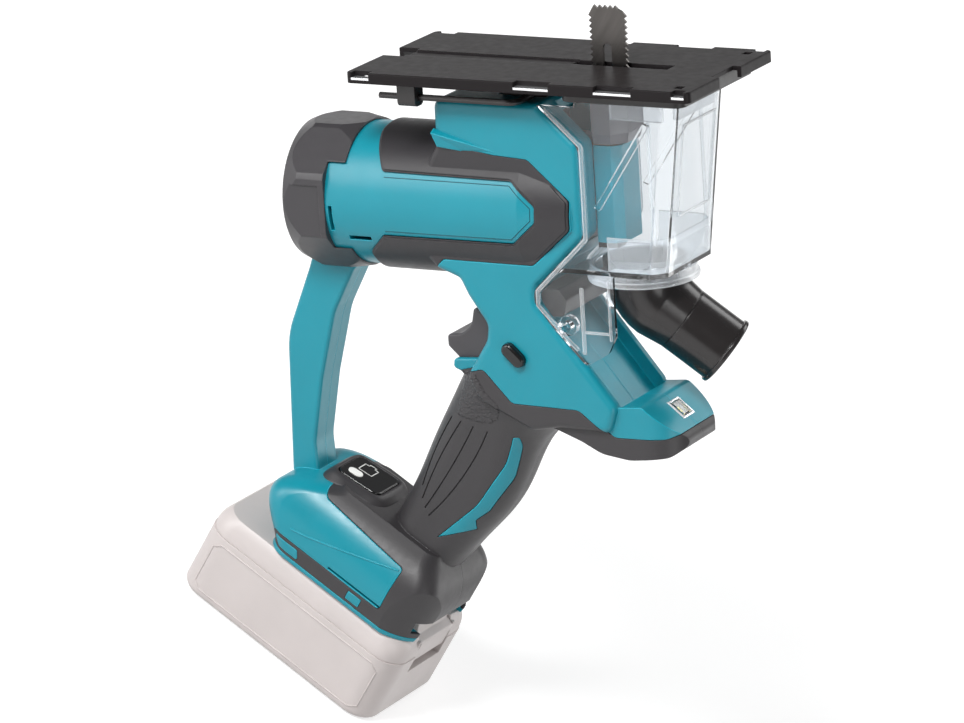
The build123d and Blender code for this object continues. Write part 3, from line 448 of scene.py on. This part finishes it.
def wall_mesh(name, plan, levels, wall):
    """Open-sided wall, as thick as wall, over a plan that is scaled at each level (z, scale) of the tool."""
    points = []
    for z, scale in levels:
        outer = [Vector((x * scale, y * scale, z)) for x, y in plan]
        inner = []
        for i, spot in enumerate(outer):
            along = outer[min(i + 1, len(outer) - 1)] - outer[max(i - 1, 0)]
            inner.append(spot + Vector((-along.y, along.x, 0)).normalized() * wall)
        points += [tilted @ (p / 1000) for p in outer + inner[::-1]]
    return solid_mesh(name, points, skin_faces(len(levels), 2 * len(plan), looped=False), cut_caps=True)


mesh = wall_mesh("guide_cover", COVER_PLAN, COVER_LEVELS, COVER_WALL)
new_piece("guide_cover", mesh, teal_nylon, "housing")

# Blade hood: smoky moulded skirt that hangs from the base plate around the blade holder and sends
# the dust down into the box. It is clipped in the plate's underside.
HOOD_PLAN = [(-3.2, -14), (6, -14), (12.2, -7.5), (12.2, 7.5), (6, 14), (-3.2, 14)]
HOOD_WALL = 1.0
HOOD_LEVELS = [(-33.8, 0.9), (-29, 1.0), (-2.2, 1.02)]
SMOKE = srgb(112, 108, 112)
smoky_plastic, tree, shader = new_finish("smoky_plastic", SMOKE, 0.12)
shader.inputs["Transmission Weight"].default_value = 0.2
relief(tree, shader, grain(tree, 120, detail=1), depth=0.00003, rounding=soften(tree, 0.0004))
clouds = mottle(tree, grain(tree, 60), SMOKE, low=0.85, high=1.1)
tree.links.new(clouds, shader.inputs["Base Color"])
mesh = wall_mesh("blade_hood", HOOD_PLAN, HOOD_LEVELS, HOOD_WALL)
new_piece("blade_hood", mesh, smoky_plastic, "housing")

# Box ribs: clear stiffening ribs moulded on the walls of the dust box, upright beside the front
# corners, level round the top, and as a small ladder on each cheek of its tail.
WALL_IN = 25.4
CHEEK_IN, CHEEK_OUT = 27.3, 28.4
RIB_THICK = 1.6
BAND_THICK = 2.8
POST = ((30, -76), (30 + RIB_THICK, -19))
BAND = ((12, -19), (37.4, -10))
FRONT_BAND = ((39.2, -18, -19), (41.6, 18, -10))
LADDER = [((-6.8, -128), (-4.8, -97)), ((7.2, -121), (8.6, -93)), ((-4.9, -118.4), (7.3, -117))]
RIB_EDGE = 0.5
# Edge glint: the clear ribs' finish turns from see-through to pale opaque white towards grazing angles, a
# painted highlight that stands in for reflection on the plastic's edges.
GLINT_FACING, GLINT_EDGE = 0.1, 0.85
clear_ribs, tree, shader = new_finish("clear_ribs", (0.93, 0.945, 0.955, 1), 0.06)
rounding = soften(tree, 0.0005)
relief(tree, shader, grain(tree, 90, detail=1), depth=0.00004, rounding=rounding)
facing = tree.nodes.new("ShaderNodeLayerWeight")
facing.inputs["Blend"].default_value = 0.4
link(tree, rounding, "Normal", facing, "Normal")
edge_glint = tree.nodes.new("ShaderNodeMapRange")
edge_glint.inputs["To Min"].default_value = GLINT_FACING
edge_glint.inputs["To Max"].default_value = GLINT_EDGE
link(tree, facing, "Facing", edge_glint, "Value")
see_through = tree.nodes.new("ShaderNodeBsdfTransparent")
see_through.inputs["Color"].default_value = (0.95, 0.96, 0.97, 1)
blend = tree.nodes.new("ShaderNodeMixShader")
link(tree, edge_glint, "Result", blend, "Fac")
link(tree, see_through, "BSDF", blend, 1)
link(tree, shader, "BSDF", blend, 2)
link(tree, blend, "Shader", tree.nodes["Material Output"], "Surface")


def side_bar(ends, side, inner, outer):
    """Corners of a bar between two (x, z) ends and two distances from the middle plane."""
    (x0, z0), (x1, z1) = ends
    y0, y1 = sorted((side * inner, side * outer))
    return (x0, y0, z0), (x1, y1, z1)


def bar_mesh(name, bars, edge):
    """Bars with rounded edges, each from a low to a high corner in the tool frame."""
    shape = bmesh.new()
    for low, high in bars:
        low, high = Vector(low) / 1000, Vector(high) / 1000
        place = tilted @ Matrix.Translation((low + high) / 2) @ Matrix.Diagonal((*(high - low), 1))
        bmesh.ops.create_cube(shape, size=1, matrix=place)
    edges = list(shape.edges)
    bmesh.ops.bevel(shape, geom=edges, offset=edge / 1000, segments=2, affect="EDGES", profile=0.5)
    mesh = bpy.data.meshes.new(name)
    shape.to_mesh(mesh)
    shape.free()
    return mesh


ribs = []
for side, _ in SIDES:
    ribs.append(side_bar(POST, side, WALL_IN - RIB_THICK, WALL_IN))
    ribs.append(side_bar(BAND, side, WALL_IN - BAND_THICK, WALL_IN))
    ribs += [side_bar(rung, side, CHEEK_IN, CHEEK_OUT) for rung in LADDER]
ribs.append(FRONT_BAND)
new_piece("box_ribs", bar_mesh("box_ribs", ribs, RIB_EDGE), clear_ribs, "dust_box")

# Box funnel: the floor of the dust box sweeps up from the nozzle's hole to the walls, a thick clear
# wedge moulded in one with the box.
RING_X = 12.0
FUNNEL_R = 20.0
FUNNEL_LOW, FUNNEL_BEND, FUNNEL_TOP = -88.9, -84.5, -73.0
BEND_SHARE = 0.6
FRONT_IN = 34.6
CORNER_IN = FRONT_IN + 20.0
FUNNEL_TURN = math.radians(100)
FUNNEL_STEPS = 40
LEAST_SHARE = 0.05


def round_ring(r, angle, z):
    """Point of a circle round the nozzle's ring, in metres."""
    return tilted @ (Vector((RING_X + r * math.cos(angle), r * math.sin(angle), z)) / 1000)


points = []
for i in range(FUNNEL_STEPS + 1):
    angle = FUNNEL_TURN * (2 * i / FUNNEL_STEPS - 1)
    ahead, aside = math.cos(angle), abs(math.sin(angle))
    reach = WALL_IN / max(aside, LEAST_SHARE)
    if ahead > LEAST_SHARE:
        reach = min(reach, (FRONT_IN - RING_X) / ahead, (CORNER_IN - RING_X) / (ahead + aside))
    bend = FUNNEL_R + BEND_SHARE * (reach - FUNNEL_R)
    for r, z in ((FUNNEL_R, FUNNEL_LOW), (bend, FUNNEL_BEND), (reach, FUNNEL_TOP), (reach, FUNNEL_LOW)):
        points.append(round_ring(r, angle, z))
mesh = solid_mesh("box_funnel", points, skin_faces(FUNNEL_STEPS + 1, 4, looped=False))
new_piece("box_funnel", mesh, clear_ribs, "dust_box")

# Ring sleeve: stepped clear collar under the box that stiffens the nozzle's ring, with a rolled lip.
# It is moulded with the box.
SLEEVE = [(23.1, -91.1), (24.3, -91.1), (24.3, -94.4), (25.3, -94.9), (25.5, -95.9), (25.2, -97.0),
          (24.4, -97.4), (23.1, -97.0)]
SLEEVE_STEPS = 96
points = []
for i in range(SLEEVE_STEPS):
    points += [round_ring(r, 2 * math.pi * i / SLEEVE_STEPS, z) for r, z in SLEEVE]
mesh = solid_mesh("ring_sleeve", points, skin_faces(SLEEVE_STEPS, len(SLEEVE), looped=True))
new_piece("ring_sleeve", mesh, clear_ribs, "dust_box")

# Front frame: a raised clear bead around the dust box's front window. It is moulded with the box and
# stiffens its thin front wall.
FRAME_EDGE = [(-16, -22), (16, -22), (16, -64), (-16, -64), (-16, -22)]
FRAME_STEP = 4
FRAME_BEAD = 0.0013
AHEAD = 0.12
box_skin = surface_of("dust_box")
forward = (tilted.to_3x3() @ Vector((1, 0, 0))).normalized()
path = []
for spot in even_points(FRAME_EDGE, FRAME_STEP):
    start = tilted @ Vector((AHEAD, spot.x / 1000, spot.y / 1000))
    path.append(box_skin.ray_cast(start, -forward)[0])
mesh = bead_mesh("box_front_frame", path, FRAME_BEAD, forward)
new_piece("box_front_frame", mesh, clear_ribs, "dust_box")

# Rim beads: the rear edge of the clear box is rolled into a thick round bead that hugs the head on
# each side. It is moulded with the box and shows as a pale line, which is partly painted highlight of its
# clear finish.
RIM_LINE = [(-19.5, -15.6), (-2.1, -31.6), (-2.1, -74.4), (-28, -100), (-28, -106.6), (-9, -126.4)]
RIM_STEP = 2
RIM_BEAD = 0.002
side_beads("box_rim", box_skin, RIM_LINE, RIM_STEP, RIM_BEAD, tilted, clear_ribs, "dust_box",
           rounded=True)

# Dust nozzle: black moulded elbow that swivels in the ring under the box and takes a hose. It comes
# from a polished mould, so that it is glossier than the frame.
black_satin = moulded("black_satin", srgb(35, 32, 32), 0.22, edge=0.0006)
wear(black_satin, "dust_nozzle")

# Trigger, switch and lock button: charcoal nylon trigger in front of its switch, and a gloss black
# button through both walls. The button's end is domed, with rounded ends.
trigger_nylon = moulded("trigger_nylon", srgb(62, 60, 63), 0.4, edge=0.0007)
wear(trigger_nylon, "trigger")
button_black = moulded("button_black", srgb(18, 17, 18), 0.14, edge=0.001)
wear(button_black, "lock_button", "switch_body")
BUTTON_LONG, BUTTON_WIDE = 13.0, 6.4
BUTTON_PLACE = tilted @ Matrix.Translation((-0.042, 0, -0.131)) @ Matrix.Rotation(math.radians(43), 4, "Y")
BUTTON_LEVELS = [(0.05, -29.7), (0.15, -30.2), (0.6, -30.7), (1.4, -31.0), (2.4, -31.05)]
BUTTON_STEPS = 32
points = []
for inset, y in BUTTON_LEVELS:
    radius = BUTTON_WIDE / 2 - inset
    for i in range(BUTTON_STEPS):
        angle = 2 * math.pi * (i + 0.5) / BUTTON_STEPS
        centre = math.copysign((BUTTON_LONG - BUTTON_WIDE) / 2, math.cos(angle))
        spot = (centre + radius * math.cos(angle), y, radius * math.sin(angle))
        points.append(BUTTON_PLACE @ (Vector(spot) / 1000))
mesh = solid_mesh("button_dome", points, skin_faces(len(BUTTON_LEVELS), BUTTON_STEPS, looped=False))
smooth(mesh)
new_piece("button_dome", mesh, button_black, "lock_button")

# Indicator panel: gloss black plate on the foot with a white check button. The plate is moulded and
# polished, and it is glued in a seat of the foot.
panel_black = moulded("panel_black", srgb(24, 24, 25), 0.12, texture=900, depth=0.000002)
wear(panel_black, "indicator_panel")
white_mark = moulded("white_mark", srgb(238, 238, 234), 0.3)
wear(white_mark, "check_button")

# Panel surround: the soft cover swells up around the indicator panel, so that the plate lies almost
# flush. It is moulded with the cover, with a rounded shoulder that runs out on the foot.
PANEL_PLACE = Matrix.Translation((-0.0095, 0, 0.083)) @ Matrix.Rotation(math.radians(-5), 4, "Y")
PANEL_TOP = 6.2
PANEL_HALF = (12.0, 11.5)
SHOULDER = [(0.25, 8, 4.0), (0.25, 8, 5.6), (0.9, 7, 5.9), (1.9, 6, 5.7)]
FLANK_REACH, FLANK_SQUARE = 7.0, 3.2
FLANK_SHARES = (0.35, 0.7, 1.0)
FLANK_SINK, FLANK_FALL, FLANK_DEEP = 0.4, 0.4, 1.0
SURROUND_STEPS = 120
ABOVE = 40
foot_skin = surface_of("housing_left", "housing_right", "grip_cover_left", "grip_cover_right")
down = PANEL_PLACE.to_3x3() @ Vector((0, 0, -1))


def rounded_square(angle, margin, square, z):
    """Point of a rounded square that lies margin outside the panel; a larger square has tighter corners."""
    spot = []
    for half, share in zip(PANEL_HALF, (math.cos(angle), math.sin(angle))):
        spot.append(math.copysign(abs(share) ** (2 / square), share) * (half + margin))
    return Vector((*spot, z))


points = []
for i in range(SURROUND_STEPS):
    angle = 2 * math.pi * i / SURROUND_STEPS
    profile = [rounded_square(angle, *level) for level in SHOULDER]
    margin, square, crest = SHOULDER[-1]
    start = PANEL_PLACE @ (rounded_square(angle, FLANK_REACH, FLANK_SQUARE, ABOVE) / 1000)
    hit = foot_skin.ray_cast(start, down)[0]
    low = (PANEL_PLACE.inverted() @ hit).z * 1000 - FLANK_SINK if hit else 0.0
    low = min(low, crest - FLANK_FALL)
    for share in FLANK_SHARES:
        fall = share * share * (3 - 2 * share)
        outward = margin + share * (FLANK_REACH - margin)
        corners = square + share * (FLANK_SQUARE - square)
        profile.append(rounded_square(angle, outward, corners, crest + fall * (low - crest)))
    profile.append(profile[-1] - Vector((0, 0, FLANK_DEEP)))
    points += [PANEL_PLACE @ (spot / 1000) for spot in profile]
mesh = solid_mesh("panel_surround", points, skin_faces(SURROUND_STEPS, len(profile), looped=True))
smooth(mesh)
new_piece("panel_surround", mesh, charcoal_rubber, "housing")

# Charge mark: a plain battery outline with its terminal, pad printed in white on the indicator panel
# beside the check button.
MARK_LINES = [
    ((-6.5, -0.5), (-6, 7)), ((1, -0.5), (1.5, 7)), ((-6.5, -0.5), (1.5, 0)), ((-6.5, 6.5), (-3.9, 7)),
    ((-1.1, 6.5), (1.5, 7)), ((-4.4, 6.5), (-3.9, 8.4)), ((-1.1, 6.5), (-0.6, 8.4)),
    ((-4.4, 7.9), (-0.6, 8.4)),
]
PRINT_THICK = 0.06
marks = bmesh.new()
for (x0, y0), (x1, y1) in MARK_LINES:
    middle = Vector(((x0 + x1) / 2, (y0 + y1) / 2, PANEL_TOP + PRINT_THICK / 2)) / 1000
    size = Vector((x1 - x0, y1 - y0, PRINT_THICK)) / 1000
    place = PANEL_PLACE @ Matrix.Translation(middle) @ Matrix.Diagonal((*size, 1))
    bmesh.ops.create_cube(marks, size=1, matrix=place)
mesh = bpy.data.meshes.new("charge_mark")
marks.to_mesh(mesh)
marks.free()
new_piece("charge_mark", mesh, white_mark, "housing")

# Lamp: clear lens over a yellowish white diode on its board, in a window of the nose. A pressed
# bright reflector stands around the diode, and a bright bezel frames the window.
LAMP_PLACE = tilted @ Matrix.Translation((0.0266, 0, -0.1581)) @ Matrix.Rotation(math.radians(38.9), 4, "Y")
REFLECTOR = [(3.9, -4.95), (3.9, -4.05), (1.7, -4.9)]
BEZEL = [(5.4, -0.5), (5.4, 0.3), (4.9, 0.8), (4.3, 0.7), (4.1, 0.1), (4.1, -0.5)]
CHIP = [(1.62, -4.5), (1.62, -4.05), (1.3, -3.9)]


def square_piece(name, levels, looped, finish):
    """Square piece of the lamp over levels (half width, z): a frame if looped, otherwise a block."""
    points = []
    for half, z in levels:
        for x, y in ((-half, -half), (half, -half), (half, half), (-half, half)):
            points.append(LAMP_PLACE @ (Vector((x, y, z)) / 1000))
    new_piece(name, solid_mesh(name, points, skin_faces(len(levels), 4, looped)), finish, "housing")


lens_plastic = clear_moulding("lens_plastic", (0.97, 0.97, 0.95, 1), 0.04, waves=700, depth=0.00002,
                              edge=0.0003)
wear(lens_plastic, "lamp_lens")
lamp_chip = moulded("lamp_chip", srgb(240, 226, 150), 0.4)
square_piece("lamp_reflector", REFLECTOR, True, bright_steel)
square_piece("lamp_bezel", BEZEL, True, bright_steel)
square_piece("lamp_chip", CHIP, False, lamp_chip)

# Motor: zinc-plated steel can with glued-in ferrite magnets, laminated armature, copper commutator,
# carbon brushes in a moulded plate, moulded fan.
wear(hard_steel, "motor_can", "armature")
ferrite = moulded("ferrite", srgb(52, 51, 54), 0.6)
wear(ferrite, "magnets", "brushes")
copper = metal("copper", srgb(196, 118, 80), 0.28, 1.0, texture=900, depth=0.000006, edge=0.0002)
wear(copper, "commutator", "terminal_blades", "battery_contacts")
wear(black_nylon, "motor_fan", "brush_plate", "terminal_block")

# Boards: green glass-fibre laminate of the lamp and of the battery monitor in the foot, etched and
# routed, held in slots of the shells.
laminate = moulded("laminate", srgb(38, 92, 58), 0.35)
wear(laminate, "lamp_board", "control_board")

# Battery pack: pale grey moulded cases, screwed together around the cells and slid into the foot from
# the front. The latch at the front is of the same plastic.
pack_grey = moulded("pack_grey", srgb(198, 190, 188), 0.4, edge=0.0008)
wear(pack_grey, "battery_lower", "battery_upper", "battery_latch", "battery_cells")

# Pack panels: a raised line on each side of the lower case frames the flat field of the pack's label.
# It is moulded with the case.
PACK_PANEL = [(-49, 7), (-49, 28), (-45, 31.5), (46, 31.5), (50, 28), (50, 7), (46, 4.5), (-45, 4.5),
              (-49, 7)]
PACK_STEP = 2.5
PACK_LINE = 0.0009
pack_skin = surface_of("battery_lower")
side_beads("pack_panel", pack_skin, PACK_PANEL, PACK_STEP, PACK_LINE, upright, pack_grey, "battery")

# Camera: at the picture's angle, a long way off, so that lines that run away from it stay almost
# parallel. Its angles and the point that it looks at are given in the tilted tool's own frame.
CAMERA_TURN, CAMERA_RISE, CAMERA_ROLL = (math.radians(angle) for angle in (29.083, 15.556, 3.536))
CAMERA_AIM = Vector((-0.07447, 0, -0.14433))
CAMERA_AWAY = 2.7584
back = Vector((math.sin(CAMERA_TURN) * math.cos(CAMERA_RISE), -math.cos(CAMERA_TURN) * math.cos(CAMERA_RISE),
               math.sin(CAMERA_RISE)))
right = Vector((math.cos(CAMERA_TURN), math.sin(CAMERA_TURN), 0))
up = back.cross(right)
rolled_right = math.cos(CAMERA_ROLL) * right - math.sin(CAMERA_ROLL) * up
rolled_up = math.sin(CAMERA_ROLL) * right + math.cos(CAMERA_ROLL) * up
turn = Matrix((rolled_right, rolled_up, back)).transposed().to_4x4()
lens = bpy.data.cameras.new("camera")
lens.sensor_width = 36
lens.lens = 224.07
lens.clip_end = 20
camera = bpy.data.objects.new("camera", lens)
bpy.context.scene.collection.objects.link(camera)
camera.matrix_world = tilted @ Matrix.Translation(CAMERA_AIM + CAMERA_AWAY * back) @ turn
bpy.context.scene.camera = camera

# Floor: a wide grey sheet that takes the saw's shadow. To the camera, and in gloss and clear plastic,
# it also glows, and it pales to white away from the saw.
FLOOR_HALF = 30
FLOOR_DROP = 0.0003
NEAR, FAR = 0.5, 2.2
NEAR_GLOW, FAR_GLOW = 0.62, 0.96
floor_mesh = bpy.data.meshes.new("floor")
corners = [(-FLOOR_HALF, -FLOOR_HALF, 0), (FLOOR_HALF, -FLOOR_HALF, 0), (FLOOR_HALF, FLOOR_HALF, 0),
           (-FLOOR_HALF, FLOOR_HALF, 0)]
floor_mesh.from_pydata(corners, [], [(0, 1, 2, 3)])
floor = bpy.data.objects.new("floor", floor_mesh)
bpy.context.scene.collection.objects.link(floor)
floor.location.z = -FLOOR_DROP
white_floor, tree, shader = new_finish("white_floor", (0.55, 0.55, 0.55, 1), 0.9)


def joined(operation, first, first_output, second, second_output):
    node = tree.nodes.new("ShaderNodeMath")
    node.operation = operation
    link(tree, first, first_output, node, 0)
    link(tree, second, second_output, node, 1)
    return node


ray = tree.nodes.new("ShaderNodeLightPath")
seen = joined("MAXIMUM", ray, "Is Camera Ray", ray, "Is Transmission Ray")
seen = joined("MAXIMUM", seen, "Value", ray, "Is Glossy Ray")
spot = tree.nodes.new("ShaderNodeTexCoord")
away = tree.nodes.new("ShaderNodeVectorMath")
away.operation = "LENGTH"
link(tree, spot, "Object", away, 0)
paling = tree.nodes.new("ShaderNodeMapRange")
paling.inputs["From Min"].default_value = NEAR
paling.inputs["From Max"].default_value = FAR
paling.inputs["To Min"].default_value = NEAR_GLOW
paling.inputs["To Max"].default_value = FAR_GLOW
link(tree, away, "Value", paling, "Value")
glow = joined("MULTIPLY", seen, "Value", paling, "Result")
shader.inputs["Emission Color"].default_value = (1, 1, 1, 1)
link(tree, glow, "Value", shader, "Emission Strength")
floor_mesh.materials.append(white_floor)

# Lights: five soft boxes around the saw, the strongest above its left side, and a weak white sky that
# lifts the shadows.


def soft_box(name, place, target, size, power):
    lamp = bpy.data.lights.new(name, "AREA")
    lamp.shape = "RECTANGLE"
    lamp.size, lamp.size_y = size
    lamp.energy = power
    box = bpy.data.objects.new(name, lamp)
    bpy.context.scene.collection.objects.link(box)
    line = Vector(target) - Vector(place)
    box.matrix_world = Matrix.Translation(place) @ line.to_track_quat("-Z", "Y").to_matrix().to_4x4()


soft_box("key_light", (-0.6, -1.25, 1.6), target=(0, 0, 0.2), size=(0.5, 0.5), power=30)
soft_box("fill_light", (1.5, -1.0, 0.8), target=(0, 0, 0.2), size=(0.7, 1.2), power=8)
soft_box("back_light", (0.3, 1.6, 1.6), target=(0, 0, 0.25), size=(1.4, 0.8), power=12)
soft_box("side_light", (-1.2, -1.0, 0.62), target=(0, 0, 0.25), size=(0.8, 1.0), power=13)
soft_box("far_light", (1.2, 1.2, 0.55), target=(0, 0, 0.2), size=(0.8, 1.0), power=9)
world = bpy.data.worlds.new("studio")
world.use_nodes = True
bpy.context.scene.world = world
sky = world.node_tree.nodes["Background"]
sky.inputs["Color"].default_value = (1, 1, 1, 1)
sky.inputs["Strength"].default_value = 0.2
bpy.context.scene.view_settings.view_transform = "Standard"
